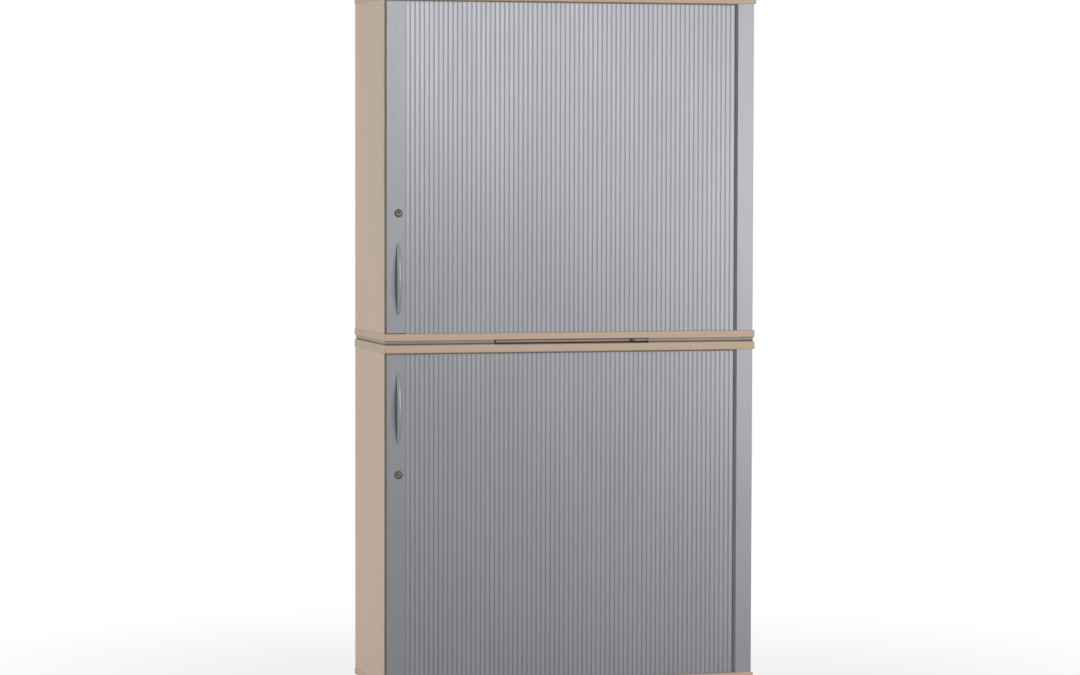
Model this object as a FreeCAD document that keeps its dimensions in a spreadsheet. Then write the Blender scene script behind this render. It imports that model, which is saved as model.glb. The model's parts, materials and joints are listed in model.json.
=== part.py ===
import FreeCAD, Part
import math
import os
import re
import Sketcher

from FreeCAD import Placement, Rotation, Vector

# A stack of two side-opening tambour cabinets on levelling feet, in millimetres.
# +Z is up, the doors face -Y, and the origin is on the floor under the middle of the whole box.

sizes = {
    # carcass boards of one unit
    "width": 1200,               # across the top and bottom panels
    "depth": 430,                # front edge to back edge of the panels
    "clear_height": 1028,        # between the bottom and the top panel
    "top_thickness": 25,
    "bottom_thickness": 22,
    "edge_bevel": 2,             # broken edges of the panels
    "side_thickness": 19,
    "side_overhang": 1.5,        # the panels stand out past the sides
    "side_setback": 20,          # front edge of the sides behind the front of the panels
    "back_thickness": 8,
    "back_inset": 2,
    # curtain track, measured on its centre line
    "track_channel": 10,         # clear width of the channel
    "track_wall": 1.2,
    "track_depth": 9.2,          # depth of the groove that holds the track
    "track_fit": 0.1,
    "bend_radius": 40,
    "side_run_inset": 33,        # from the right end of the panels
    "back_run_inset": 20,        # from the back edge of the panels
    "back_run": 740,
    # tambour slats
    "slat_pitch": 15,
    "slat_thickness": 8,
    "slat_flat": 11.2,           # flat front of the rib
    "slat_back": 13.2,           # narrower than the pitch, for the bend
    "slat_tongue": 7.8,          # from the middle of the slat to the edge of its tongue
    "slat_gap": 0.3,             # between a tongue and the next slat's groove
    "slat_end_gap": 0.3,         # over the floor of the track
    "slat_head_gap": 2,          # under the roof of the track
    # leading rail
    "rail_width": 60,
    "rail_thickness": 12,
    "rail_wall": 2,
    "rail_inset": 6,             # from the left end of the panels
    "rail_setback": 5,           # behind the front of the panels
    "rail_end_gap": 2,
    "guide_length": 34,
    "guide_inset": 5,            # from the left edge of the rail
    "guide_plug": 22,            # length inside the rail
    "guide_fit": 0.15,
    # bow handle
    "handle_length": 222,
    "handle_width": 14,
    "handle_end_width": 10,
    "handle_projection": 24,
    "handle_bar": 8,             # thickness at the middle of the bow
    "handle_foot": 27,
    "handle_inset": 37,          # from the left edge of the rail
    "handle_level": 168,         # middle of the bow to the nearer panel
    # lock
    "lock_inset": 38,            # from the left edge of the rail
    "lock_level": 372,           # to the nearer panel
    "lower_drop": 4,             # lower handle and lock, further from the panel
    "lock_ring_radius": 13,
    "lock_ring_height": 2.5,
    "lock_barrel_radius": 9,
    "lock_barrel_length": 20,
    "lock_fit": 0.1,             # of the barrel in the rail
    "plug_radius": 6,
    "plug_fit": 0.05,            # running fit of the plug
    "plug_recess": 0.8,          # behind the front of the ring
    "plug_tail_radius": 4,
    "plug_tail_length": 3.2,
    "keyway_width": 1.8,
    "keyway_height": 7,
    "keyway_depth": 10,
    "cam_gap": 0.3,              # between the barrel and the cam
    "cam_thickness": 2.5,
    "cam_width": 10,
    "cam_heel": 9,               # below the axis
    "cam_hook": 7,               # beyond the strike
    "cam_notch": 4,
    "cam_notch_gap": 0.8,
    "strike_thickness": 2,
    "strike_margin": 4,          # around the slot, towards the front and the back
    "strike_tail": 12,           # past the slot, up and down
    "strike_slot_gap": 1,
    "mortise_rise": 26,          # above the axis of the lock
    "mortise_gap": 1.5,
    # jamb post
    "post_width": 53,
    "post_inset": 6,             # from the right end of the panels
    "post_plate": 3,
    "post_web": 12,
    "brush_reach": 8.5,          # past the left edge of the post
    "brush_thickness": 1.5,
    # pocket for the open curtain, and shelves
    "pocket_gap": 1.8,           # between the track and the boards of the pocket
    "partition_thickness": 12,
    "inner_back_thickness": 4,
    "cove_thickness": 3,
    "shelf_thickness": 22,
    "shelf_setback": 46,
    "shelf_gap": 1,
    "bracket_wall": 2,
    "bracket_width": 16,
    "bracket_reach": 14,         # under the shelf
    "bracket_drop": 22,          # down the board
    "bracket_inset": 40,         # from the front and back edges of the shelf
    # stacking frame with its pull-out shelf
    "frame_height": 13,
    "frame_bar": 40,
    "frame_wall": 2,
    "frame_cap": 8,              # plug in each open end of the side bars
    "frame_front_inset": 9,
    "frame_side_inset": 3,
    "frame_back_inset": 5,
    "slot_width": 500,
    "pullout_gap": 3,
    "pullout_depth": 315,
    "pullout_thickness": 7,
    "lip_thickness": 6,
    "lip_gap": 8,                # at each end of the slot
    "lip_height": 5,
    "lip_recess": 16,            # behind the front of the frame
    "lip_lift": 3,               # above the underside of the pull-out shelf
    "runner_wall": 1.5,
    "runner_lip": 14,
    "runner_height": 11,
    "tab_width": 30,             # locating tabs of the frame
    "tab_thickness": 4,
    "tab_bite": 8,               # depth in each panel
    "tab_fit": 0.1,
    # levelling feet
    "foot_height": 25,
    "foot_inset": 60,
    "foot_pad_radius": 24,       # over the corners of the hexagon
    "foot_pad_height": 9,
    "stem_radius": 5,
    "stem_fit": 0.05,
    "stem_end_gap": 1,
    "socket_height": 12,
    "socket_width": 36,
    "overrun": 5,                # of every cut past its board
}
tail_slats = 2                   # slats in the side run when the door is shut
shelf_back_share = 0.45          # of the cove radius, behind the centre of the cove

doc = FreeCAD.newDocument("tambour_cabinet")
sheet = doc.addObject("Spreadsheet::Sheet", "Sizes")
for row, (alias, length) in enumerate(sizes.items(), start=1):
    sheet.set(f"A{row}", alias.replace("_", " "))
    sheet.set(f"B{row}", str(length))
    sheet.setAlias(f"B{row}", alias)
doc.recompute()

nodes = {}


# Formulas over the cells of the sheet

def cells(formula):
    return re.sub(r"[a-z_]+", lambda word: f"Sizes.{word[0]}" if word[0] in sizes else word[0], formula)


def value(formula):
    return float(sheet.evalExpression(cells(formula)))


def bind(item, **formulas):
    for name, formula in formulas.items():
        item.setExpression(name, cells(formula))


def place(item, x, y, z):
    for axis, formula in zip("xyz", (x, y, z)):
        item.setExpression(f"Placement.Base.{axis}", cells(formula))


def node(item, label):
    item.Label = label
    nodes[label] = item
    return item


# Boards, rods and cuts

def board(name, x, y, z, across, along, up):
    item = doc.addObject("Part::Box", name)
    bind(item, Length=across, Width=along, Height=up)
    place(item, x, y, z)
    return item


def rod(name, axis, x, y, z, radius, length):
    item = doc.addObject("Part::Cylinder", name)
    if axis == "y":
        item.Placement = Placement(Vector(), Rotation(Vector(1, 0, 0), -90))
    bind(item, Radius=radius, Height=length)
    place(item, x, y, z)
    return item


def group(name, members):
    item = doc.addObject("Part::Compound", name)
    item.Links = members
    return item


def cut(name, base, tools):
    item = doc.addObject("Part::Cut", name)
    item.Base = base
    item.Tool = group(f"{name}_cutters", tools)
    return item


# Sketches: an outline is a list of corners (x, y), and a corner (x, y, radius, turn) starts an arc

def new_body(name, x, y, z):
    body = doc.addObject("PartDesign::Body", name)
    place(body, x, y, z)
    return body


def new_sketch(body, plane, purpose):
    sketch = body.newObject("Sketcher::SketchObject", f"{body.Name}_{purpose}")
    support = next(item for item in body.Origin.OriginFeatures if item.Role == f"{plane}_Plane")
    sketch.AttachmentSupport = [(support, "")]
    sketch.MapMode = "FlatFace"
    return sketch


def measure(sketch, constraint, formula):
    index = sketch.addConstraint(constraint)
    sketch.setExpression(f"Constraints[{index}]", cells(formula))


def pin(sketch, end, corner):
    for kind, formula in zip(("DistanceX", "DistanceY"), corner):
        measure(sketch, Sketcher.Constraint(kind, -1, 1, *end, value(formula)), formula)


def arc_between(start, stop, radius, turn):
    chord = stop - start
    rise = math.sqrt(radius ** 2 - (chord.Length / 2) ** 2)
    inward = Vector(-chord.y, chord.x, 0).normalize()
    centre = (start + stop) / 2 + inward * (rise if turn == "left" else -rise)
    first, last = (start, stop) if turn == "left" else (stop, start)
    angles = [math.atan2(end.y - centre.y, end.x - centre.x) for end in (first, last)]
    return Part.ArcOfCircle(Part.Circle(centre, Vector(0, 0, 1), radius), *angles)


def draw(sketch, corners, closed=True):
    places = [Vector(value(corner[0]), value(corner[1]), 0) for corner in corners]
    ends = []
    for index in range(len(corners) if closed else len(corners) - 1):
        start, stop = places[index], places[(index + 1) % len(places)]
        radius, turn = corners[index][2:] or (None, "left")
        if radius is None:
            edge = sketch.addGeometry(Part.LineSegment(start, stop), False)
        else:
            edge = sketch.addGeometry(arc_between(start, stop, value(radius), turn), False)
        ends.append(((edge, 1), (edge, 2)) if turn == "left" else ((edge, 2), (edge, 1)))
        if radius is not None:
            measure(sketch, Sketcher.Constraint("Radius", edge, value(radius)), radius)
    for index, (start, stop) in enumerate(ends):
        pin(sketch, start, corners[index])
        if closed or index + 1 < len(ends):
            following = ends[(index + 1) % len(ends)][0]
            sketch.addConstraint(Sketcher.Constraint("Coincident", *stop, *following))
    if not closed:
        pin(sketch, ends[-1][1], corners[-1])


def rectangle(left, low, right, high):
    return [(left, low), (right, low), (right, high), (left, high)]


def pad(body, plane, outlines, length, side="One side"):
    sketch = new_sketch(body, plane, "outline")
    for corners in outlines:
        draw(sketch, corners)
    feature = body.newObject("PartDesign::Pad", f"{body.Name}_pad")
    feature.Profile = sketch
    feature.SideType = side
    bind(feature, Length=length)
    return feature


def revolve(body, plane, corners):
    sketch = new_sketch(body, plane, "outline")
    draw(sketch, corners)
    feature = body.newObject("PartDesign::Revolution", f"{body.Name}_turning")
    feature.Profile = sketch
    feature.ReferenceAxis = (sketch, ["V_Axis"])
    return feature


def pipe(body, kind, path, corners):
    spine = new_sketch(body, "XY", "path")
    draw(spine, path, closed=False)
    profile = new_sketch(body, "YZ", "profile")
    draw(profile, corners)
    feature = body.newObject(f"PartDesign::{kind}Pipe", f"{body.Name}_sweep")
    feature.Profile = profile
    feature.Spine = (spine, [f"Edge{index}" for index in range(1, len(path))])
    return feature


# Places that several pieces share

left_end = "(-width / 2)"
front = "(-(depth - handle_projection + rail_setback) / 2)"
track_centre = "(rail_setback + rail_thickness / 2)"
track_half = "(track_channel / 2 + track_wall)"
front_run = "(width - rail_inset - side_run_inset - bend_radius)"
side_run = f"(depth - back_run_inset - {track_centre} - 2 * bend_radius)"
rail_x = f"({left_end} + rail_inset)"
rail_y = f"({front} + rail_setback)"
track_y = f"({front} + {track_centre})"
bend_x = "(width / 2 - side_run_inset - bend_radius)"
front_bend_y = f"({track_y} + bend_radius)"
back_bend_y = f"({front_bend_y} + {side_run})"
pocket_radius = f"(bend_radius - {track_half} - pocket_gap)"
inner_left = f"({left_end} + side_overhang + side_thickness)"
inner_right = f"({bend_x} + {pocket_radius} - partition_thickness)"
shelf_y = f"({front} + shelf_setback)"
shelf_back_y = f"({back_bend_y} + {shelf_back_share} * ({pocket_radius} - cove_thickness))"
shelf_depth = f"({shelf_back_y} - {shelf_y})"
lock_x = f"({rail_x} + lock_inset)"
strike_reach = "(rail_inset + lock_inset - side_overhang - side_thickness)"
cam_y = f"({rail_y} + lock_barrel_length + cam_gap)"
frame_y = f"({front} + frame_front_inset)"
frame_depth = "(depth - frame_front_inset - frame_back_inset)"
frame_left = f"({left_end} + frame_side_inset)"
front_bar = "((width - slot_width) / 2 - frame_side_inset - frame_bar)"
tab_x = f"(slot_width / 2 + {front_bar} / 2)"
tab_y = {
    "front": f"({frame_y} + frame_bar / 2)",
    "back": f"({frame_y} + {frame_depth} - frame_bar / 2)",
}

track_path = [
    ("0", "0"),
    (front_run, "0", "bend_radius", "left"),
    (f"{front_run} + bend_radius", "bend_radius"),
    (f"{front_run} + bend_radius", f"bend_radius + {side_run}", "bend_radius", "left"),
    (front_run, f"2 * bend_radius + {side_run}"),
    (f"{front_run} - back_run", f"2 * bend_radius + {side_run}"),
]

lower = {"base": "foot_height"}
upper = {"base": "(foot_height + bottom_thickness + clear_height + top_thickness + frame_height)"}
units = {"lower": lower, "upper": upper}
for unit in units.values():
    unit["floor"] = f"({unit['base']} + bottom_thickness)"
    unit["ceiling"] = f"({unit['floor']} + clear_height)"
    unit["roof"] = f"({unit['ceiling']} + top_thickness)"
# the two doors mirror each other: handle and lock lie towards the joint of the stack
lower["handle"] = f"({lower['ceiling']} - handle_level - lower_drop)"
lower["lock"] = f"({lower['ceiling']} - lock_level - lower_drop)"
upper["handle"] = f"({upper['floor']} + handle_level)"
upper["lock"] = f"({upper['floor']} + lock_level)"


def tabs(name, level, length, fit):
    width = f"(tab_width + 2 * {fit})"
    thickness = f"(tab_thickness + 2 * {fit})"
    items = []
    for row, y in tab_y.items():
        for side, sign in (("left", "-"), ("right", "")):
            items.append(board(f"{name}_{row}_{side}", f"{sign}{tab_x} - {width} / 2",
                               f"{y} - {thickness} / 2", level, width, thickness, length))
    return items


# Carcass

def panel(name, level, thickness, groove_low, groove_high, holes=()):
    body = new_body(f"{name}_board" if holes else name, rail_x, track_y, level)
    ends = rectangle("-rail_inset", f"-{track_centre}", "width - rail_inset", f"depth - {track_centre}")
    slab = pad(body, "XY", [ends], thickness)
    doc.recompute()
    behind = slab.Shape.BoundBox.YMax - value("edge_bevel")
    edges = [f"Edge{index}" for index, edge in enumerate(slab.Shape.Edges, start=1)
             if edge.CenterOfMass.y < behind]
    bevel = body.newObject("PartDesign::Chamfer", f"{name}_bevel")
    bevel.Base = (slab, edges)
    bind(bevel, Size="edge_bevel")
    half = f"({track_half} + track_fit)"
    pipe(body, "Subtractive", track_path, rectangle(f"-{half}", groove_low, half, groove_high))
    node(cut(name, body, holes) if holes else body, name)


def track(name, level, floor_low, floor_high, mouth):
    body = new_body(name, rail_x, track_y, level)
    profile = [
        (f"-{track_half}", floor_low),
        (track_half, floor_low),
        (track_half, mouth),
        ("track_channel / 2", mouth),
        ("track_channel / 2", floor_high),
        ("-track_channel / 2", floor_high),
        ("-track_channel / 2", mouth),
        (f"-{track_half}", mouth),
    ]
    pipe(body, "Additive", track_path, profile)
    node(body, name)


def sides(name, unit):
    depth_of_side = "depth - side_setback - back_inset"
    y = f"{front} + side_setback"
    blank = board(f"{name}_left_side_board", f"{left_end} + side_overhang", y, unit["floor"],
                  "side_thickness", depth_of_side, "clear_height")
    mortise = board(
        f"{name}_mortise",
        f"{inner_left} - cam_hook - mortise_gap",
        f"{cam_y} - strike_slot_gap",
        f"{unit['lock']} - cam_width / 2 - mortise_gap",
        "cam_hook + mortise_gap + overrun",
        "cam_thickness + 2 * strike_slot_gap",
        "cam_width / 2 + mortise_gap + mortise_rise",
    )
    node(cut(f"{name}_left_side_panel", blank, [mortise]), f"{name}_left_side_panel")
    right = board(f"{name}_right_side_panel", "width / 2 - side_overhang - side_thickness", y,
                  unit["floor"], "side_thickness", depth_of_side, "clear_height")
    node(right, f"{name}_right_side_panel")
    back = board(f"{name}_back_panel", inner_left, f"{front} + depth - back_inset - back_thickness",
                 unit["floor"], "width - 2 * (side_overhang + side_thickness)", "back_thickness",
                 "clear_height")
    node(back, f"{name}_back_panel")


def pocket(name, unit):
    partition = board(f"{name}_pocket_partition", inner_right, front_bend_y, unit["floor"],
                      "partition_thickness", side_run, "clear_height")
    node(partition, f"{name}_pocket_partition")
    inner = board(f"{name}_inner_back", inner_left,
                  f"{back_bend_y} + {pocket_radius} - inner_back_thickness", unit["floor"],
                  f"{bend_x} - {inner_left}", "inner_back_thickness", "clear_height")
    node(inner, f"{name}_inner_back")
    cove = new_body(f"{name}_corner_cove", bend_x, back_bend_y, unit["floor"])
    within = f"({pocket_radius} - cove_thickness)"
    quarter = [
        (pocket_radius, "0", pocket_radius, "left"),
        ("0", pocket_radius),
        ("0", within, within, "right"),
        (within, "0"),
    ]
    pad(cove, "XY", [quarter], "clear_height")
    node(cove, f"{name}_corner_cove")


def bracket(name, side, y, shelf_level):
    body = new_body(name, inner_left if side == "left" else inner_right, y, shelf_level)
    sign = "" if side == "left" else "-"
    corners = [
        ("0", "0"),
        ("0", "-bracket_drop"),
        (f"{sign}bracket_wall", "-bracket_drop"),
        (f"{sign}bracket_wall", "-bracket_wall"),
        (f"{sign}bracket_reach", "-bracket_wall"),
        (f"{sign}bracket_reach", "0"),
    ]
    pad(body, "XZ", [corners], "bracket_width").Reversed = True
    return body


def shelving(name, unit):
    gap = "((clear_height - 2 * shelf_thickness) / 3)"
    shelves = {
        "low_shelf": f"({unit['floor']} + {gap})",
        "high_shelf": f"({unit['floor']} + 2 * {gap} + shelf_thickness)",
    }
    rows = {
        "front": f"{shelf_y} + bracket_inset",
        "back": f"{shelf_back_y} - bracket_inset - bracket_width",
    }
    brackets = []
    for shelf, level in shelves.items():
        item = board(f"{name}_{shelf}", f"{inner_left} + shelf_gap", shelf_y, level,
                     f"{inner_right} - {inner_left} - 2 * shelf_gap", shelf_depth, "shelf_thickness")
        node(item, f"{name}_{shelf}")
        for row, y in rows.items():
            for side in ("left", "right"):
                brackets.append(bracket(f"{name}_{shelf}_{row}_{side}_bracket", side, y, level))
    node(group(f"{name}_shelf_brackets", brackets), f"{name}_shelf_brackets")


def jamb_post(name, unit):
    body = new_body(f"{name}_jamb_post", "width / 2 - post_inset - post_width", rail_y, unit["floor"])
    reach = "(side_setback - rail_setback)"
    corners = [
        ("0", "0"),
        ("post_width", "0"),
        ("post_width", reach),
        ("post_width - post_web", reach),
        ("post_width - post_web", "post_plate"),
        ("0", "post_plate"),
    ]
    pad(body, "XY", [corners], "clear_height")
    node(body, f"{name}_jamb_post")


# Brush strips: they stand on the left edges of the posts, in front of the curtains

def jamb_brushes():
    x = "width / 2 - post_inset - post_width - brush_reach"
    strips = [board(f"{name}_jamb_brush", x, rail_y, unit["floor"], "brush_reach", "brush_thickness",
                    "clear_height") for name, unit in units.items()]
    node(group("jamb_brushes", strips), "jamb_brushes")


def carcass(name, unit):
    slots_below = []
    slots_above = []
    if unit is upper:
        slots_below = tabs("upper_tab_slot", f"{unit['base']} - overrun", "tab_bite + overrun", "tab_fit")
    else:
        slots_above = tabs("lower_tab_slot", f"{unit['roof']} - tab_bite", "tab_bite + overrun", "tab_fit")
    panel(f"{name}_bottom_panel", unit["base"], "bottom_thickness", "bottom_thickness - track_depth",
          "bottom_thickness + overrun", slots_below)
    panel(f"{name}_top_panel", unit["ceiling"], "top_thickness", "-overrun", "track_depth", slots_above)
    track(f"{name}_bottom_track", f"{unit['floor']} - track_depth", "0", "track_wall", "track_depth")
    track(f"{name}_top_track", unit["ceiling"], "track_depth", "track_depth - track_wall", "0")
    sides(name, unit)
    pocket(name, unit)
    shelving(name, unit)
    jamb_post(name, unit)


# Tambour curtain: the slats follow the centre line of the track, each tongue in the next slot

def slat_profile():
    half = value("slat_thickness / 2")
    flat = value("slat_flat / 2")
    back = value("slat_back / 2")
    points = [
        Vector(-flat, -half),
        Vector(flat, -half),
        Vector(value("slat_tongue"), 0),
        Vector(back, half),
        Vector(-back, half),
        Vector(value("slat_tongue + slat_gap - slat_pitch"), 0),
    ]
    return Part.Face(Part.makePolygon(points + points[:1]))


def along_track(distance, straight, radius):
    quarter = radius * math.pi / 2
    if distance < straight:
        return Vector(distance, 0, 0), 0
    if distance < straight + quarter:
        turn = (distance - straight) / radius
        return Vector(straight + radius * math.sin(turn), radius - radius * math.cos(turn), 0), turn
    return Vector(straight + radius, radius + distance - straight - quarter, 0), math.pi / 2


def tambour(name, unit):
    pitch, radius = value("slat_pitch"), value("bend_radius")
    straight = value(f"{front_run} - rail_width")
    foot = f"({unit['floor']} - track_depth + track_wall + slat_end_gap)"
    head = f"({unit['ceiling']} + track_depth - track_wall - slat_head_gap)"
    slat = slat_profile().extrude(Vector(0, 0, value(f"{head} - {foot}")))
    slats = []
    for index in range(int((straight + radius * math.pi / 2) / pitch) + tail_slats):
        spot, turn = along_track((index + 0.5) * pitch, straight, radius)
        copy = slat.copy()
        copy.Placement = Placement(spot, Rotation(Vector(0, 0, 1), math.degrees(turn)))
        slats.append(copy)
    item = doc.addObject("Part::Feature", f"{name}_tambour_slats")
    item.Shape = Part.makeCompound(slats)
    item.Placement = Placement(Vector(value(f"{rail_x} + rail_width"), value(track_y), value(foot)),
                               Rotation())
    node(item, f"{name}_tambour_slats")


# Door: leading rail with its guides, handle and lock

def lead_rail(name, unit):
    body = new_body(f"{name}_rail_profile", rail_x, rail_y, f"{unit['floor']} + rail_end_gap")
    mid = "rail_thickness / 2"
    tongue = "(slat_tongue - slat_pitch / 2)"
    outside = [
        ("0", "0"),
        ("rail_width", "0"),
        ("rail_width", f"{mid} - {tongue}"),
        (f"rail_width + {tongue}", mid),
        ("rail_width", f"{mid} + {tongue}"),
        ("rail_width", "rail_thickness"),
        ("0", "rail_thickness"),
    ]
    inside = rectangle("rail_wall", "rail_wall", "rail_width - rail_wall", "rail_thickness - rail_wall")
    pad(body, "XY", [outside, inside], "clear_height - 2 * rail_end_gap")
    hole = rod(f"{name}_lock_hole", "y", lock_x, f"{rail_y} - overrun", unit["lock"],
               "lock_barrel_radius + lock_fit", "rail_thickness + 2 * overrun")
    node(cut(f"{name}_lead_rail", body, [hole]), f"{name}_lead_rail")


def rail_guides(name, unit):
    thickness = "(rail_thickness - 2 * rail_wall - 2 * guide_fit)"
    reach = "(track_depth - track_wall - slat_end_gap)"
    length = f"{reach} + rail_end_gap + guide_plug"
    levels = {
        "foot": f"{unit['floor']} - {reach}",
        "head": f"{unit['ceiling']} - rail_end_gap - guide_plug",
    }
    blocks = [board(f"{name}_guide_{end}", f"{rail_x} + guide_inset", f"{track_y} - {thickness} / 2", level,
                    "guide_length", thickness, length) for end, level in levels.items()]
    node(group(f"{name}_rail_guides", blocks), f"{name}_rail_guides")


def bow_radius(half_span, rise):
    return f"((({half_span}) ^ 2 + ({rise}) ^ 2) / (2 * ({rise})))"


def pull_handle(name, unit):
    x = f"{rail_x} + handle_inset"
    bow = new_body(f"{name}_handle_bow", x, rail_y, unit["handle"])
    half = "(handle_length / 2)"
    grip = "(handle_length / 2 - handle_foot)"
    gap = "(handle_projection - handle_bar)"
    crescent = [
        ("0", half, bow_radius(half, "handle_projection"), "left"),
        ("0", f"-{half}"),
        ("0", f"-{grip}", bow_radius(grip, gap), "right"),
        ("0", grip),
    ]
    pad(bow, "YZ", [crescent], "handle_width", "Symmetric")
    leaf = new_body(f"{name}_handle_leaf", x, f"{rail_y} + overrun", unit["handle"])
    tip = "(handle_end_width / 2)"
    shoulder = f"({half} - {tip})"
    flank = bow_radius(shoulder, f"handle_width / 2 - {tip}")
    outline = [
        (tip, f"-{shoulder}", flank, "left"),
        (tip, shoulder, tip, "left"),
        ("0", half, tip, "left"),
        (f"-{tip}", shoulder, flank, "left"),
        (f"-{tip}", f"-{shoulder}", tip, "left"),
        ("0", f"-{half}", tip, "left"),
    ]
    pad(leaf, "XZ", [outline], "handle_projection + 2 * overrun")
    item = doc.addObject("Part::Common", f"{name}_pull_handle")
    item.Base = bow
    item.Tool = leaf
    node(item, f"{name}_pull_handle")


def lock(name, unit):
    housing = new_body(f"{name}_lock_housing", lock_x, rail_y, unit["lock"])
    bore = "plug_radius + plug_fit"
    revolve(housing, "XY", [
        (bore, "-lock_ring_height"),
        ("lock_ring_radius", "-lock_ring_height"),
        ("lock_ring_radius", "0"),
        ("lock_barrel_radius", "0"),
        ("lock_barrel_radius", "lock_barrel_length"),
        (bore, "lock_barrel_length"),
    ])
    node(housing, f"{name}_lock_housing")

    core = new_body(f"{name}_plug_core", lock_x, rail_y, unit["lock"])
    face = "(plug_recess - lock_ring_height)"
    shoulder = "(lock_barrel_length + cam_gap)"
    revolve(core, "XY", [
        ("0", face),
        ("plug_radius", face),
        ("plug_radius", shoulder),
        ("plug_tail_radius", shoulder),
        ("plug_tail_radius", f"{shoulder} + plug_tail_length"),
        ("0", f"{shoulder} + plug_tail_length"),
    ])
    keyway = board(f"{name}_keyway", f"{lock_x} - keyway_width / 2", f"{rail_y} + {face} - overrun",
                   f"{unit['lock']} - keyway_height / 2", "keyway_width", "keyway_depth + overrun",
                   "keyway_height")
    node(cut(f"{name}_lock_plug", core, [keyway]), f"{name}_lock_plug")

    plate = new_body(f"{name}_cam_plate", lock_x, f"{cam_y} + cam_thickness", unit["lock"])
    half = "(cam_width / 2)"
    notch_low = f"({strike_reach} - strike_thickness - cam_notch_gap)"
    notch_high = f"({strike_reach} + cam_notch_gap)"
    tip = f"({strike_reach} + cam_hook)"
    pad(plate, "XZ", [[
        (f"-{half}", "-cam_heel"),
        (half, "-cam_heel"),
        (half, tip),
        (f"-{half}", tip),
        (f"-{half}", notch_high),
        (f"cam_notch - {half}", notch_high),
        (f"cam_notch - {half}", notch_low),
        (f"-{half}", notch_low),
    ]], "cam_thickness")
    eye = rod(f"{name}_cam_eye", "y", lock_x, f"{cam_y} - overrun", unit["lock"],
              "plug_tail_radius + plug_fit", "cam_thickness + 2 * overrun")
    node(cut(f"{name}_lock_cam", plate, [eye]), f"{name}_lock_cam")

    slot_y = f"({cam_y} - strike_slot_gap)"
    slot_low = f"({unit['lock']} - cam_width / 2 + cam_notch - strike_slot_gap)"
    slot_width = "(cam_thickness + 2 * strike_slot_gap)"
    slot_height = f"({unit['lock']} + mortise_rise - {slot_low})"
    blank = board(f"{name}_strike_blank", inner_left, f"{slot_y} - strike_margin / 2",
                  f"{slot_low} - strike_tail", "strike_thickness", f"{slot_width} + 2 * strike_margin",
                  f"{slot_height} + 2 * strike_tail")
    slot = board(f"{name}_strike_slot", f"{inner_left} - overrun", slot_y, slot_low,
                 "strike_thickness + 2 * overrun", slot_width, slot_height)
    node(cut(f"{name}_strike_plate", blank, [slot]), f"{name}_strike_plate")


def door(name, unit):
    tambour(name, unit)
    lead_rail(name, unit)
    rail_guides(name, unit)
    pull_handle(name, unit)
    lock(name, unit)


# Stacking frame: steel tubes round the edge, with a pull-out shelf in the front slot

def tube(name, along, x, y, length):
    body = new_body(name, x, y, lower["roof"])
    outside = rectangle("0", "0", "frame_bar", "frame_height")
    inside = rectangle("frame_wall", "frame_wall", "frame_bar - frame_wall", "frame_height - frame_wall")
    feature = pad(body, "YZ" if along == "x" else "XZ", [outside, inside], length)
    feature.Reversed = along == "y"
    return body


def stacking_frame():
    between = "(width - 2 * (frame_side_inset + frame_bar))"
    bar_left = f"({frame_left} + frame_bar)"
    node(tube("frame_left_bar", "y", frame_left, frame_y, frame_depth), "frame_left_bar")
    node(tube("frame_right_bar", "y", f"-{bar_left}", frame_y, frame_depth), "frame_right_bar")
    bars = {
        "frame_front_left_bar": (bar_left, frame_y, front_bar),
        "frame_front_right_bar": ("slot_width / 2", frame_y, front_bar),
        "frame_back_bar": (bar_left, f"{frame_y} + {frame_depth} - frame_bar", between),
    }
    for name, (x, y, length) in bars.items():
        slots = tabs(f"{name}_slot", f"{lower['roof']} - overrun", "frame_height + 2 * overrun", "tab_fit")
        node(cut(name, tube(f"{name}_tube", "x", x, y, length), slots), name)
    caps = []
    for side, x in (("left", frame_left), ("right", f"-{bar_left}")):
        for end, y in (("front", frame_y), ("back", f"{frame_y} + {frame_depth} - frame_cap")):
            caps.append(board(f"frame_cap_{end}_{side}", f"{x} + frame_wall", y,
                              f"{lower['roof']} + frame_wall", "frame_bar - 2 * frame_wall", "frame_cap",
                              "frame_height - 2 * frame_wall"))
    node(group("frame_end_caps", caps), "frame_end_caps")
    steel = tabs("tab", f"{lower['roof']} - tab_bite + tab_fit",
                 "frame_height + 2 * (tab_bite - tab_fit)", "0")
    node(group("stacking_tabs", steel), "stacking_tabs")


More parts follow.
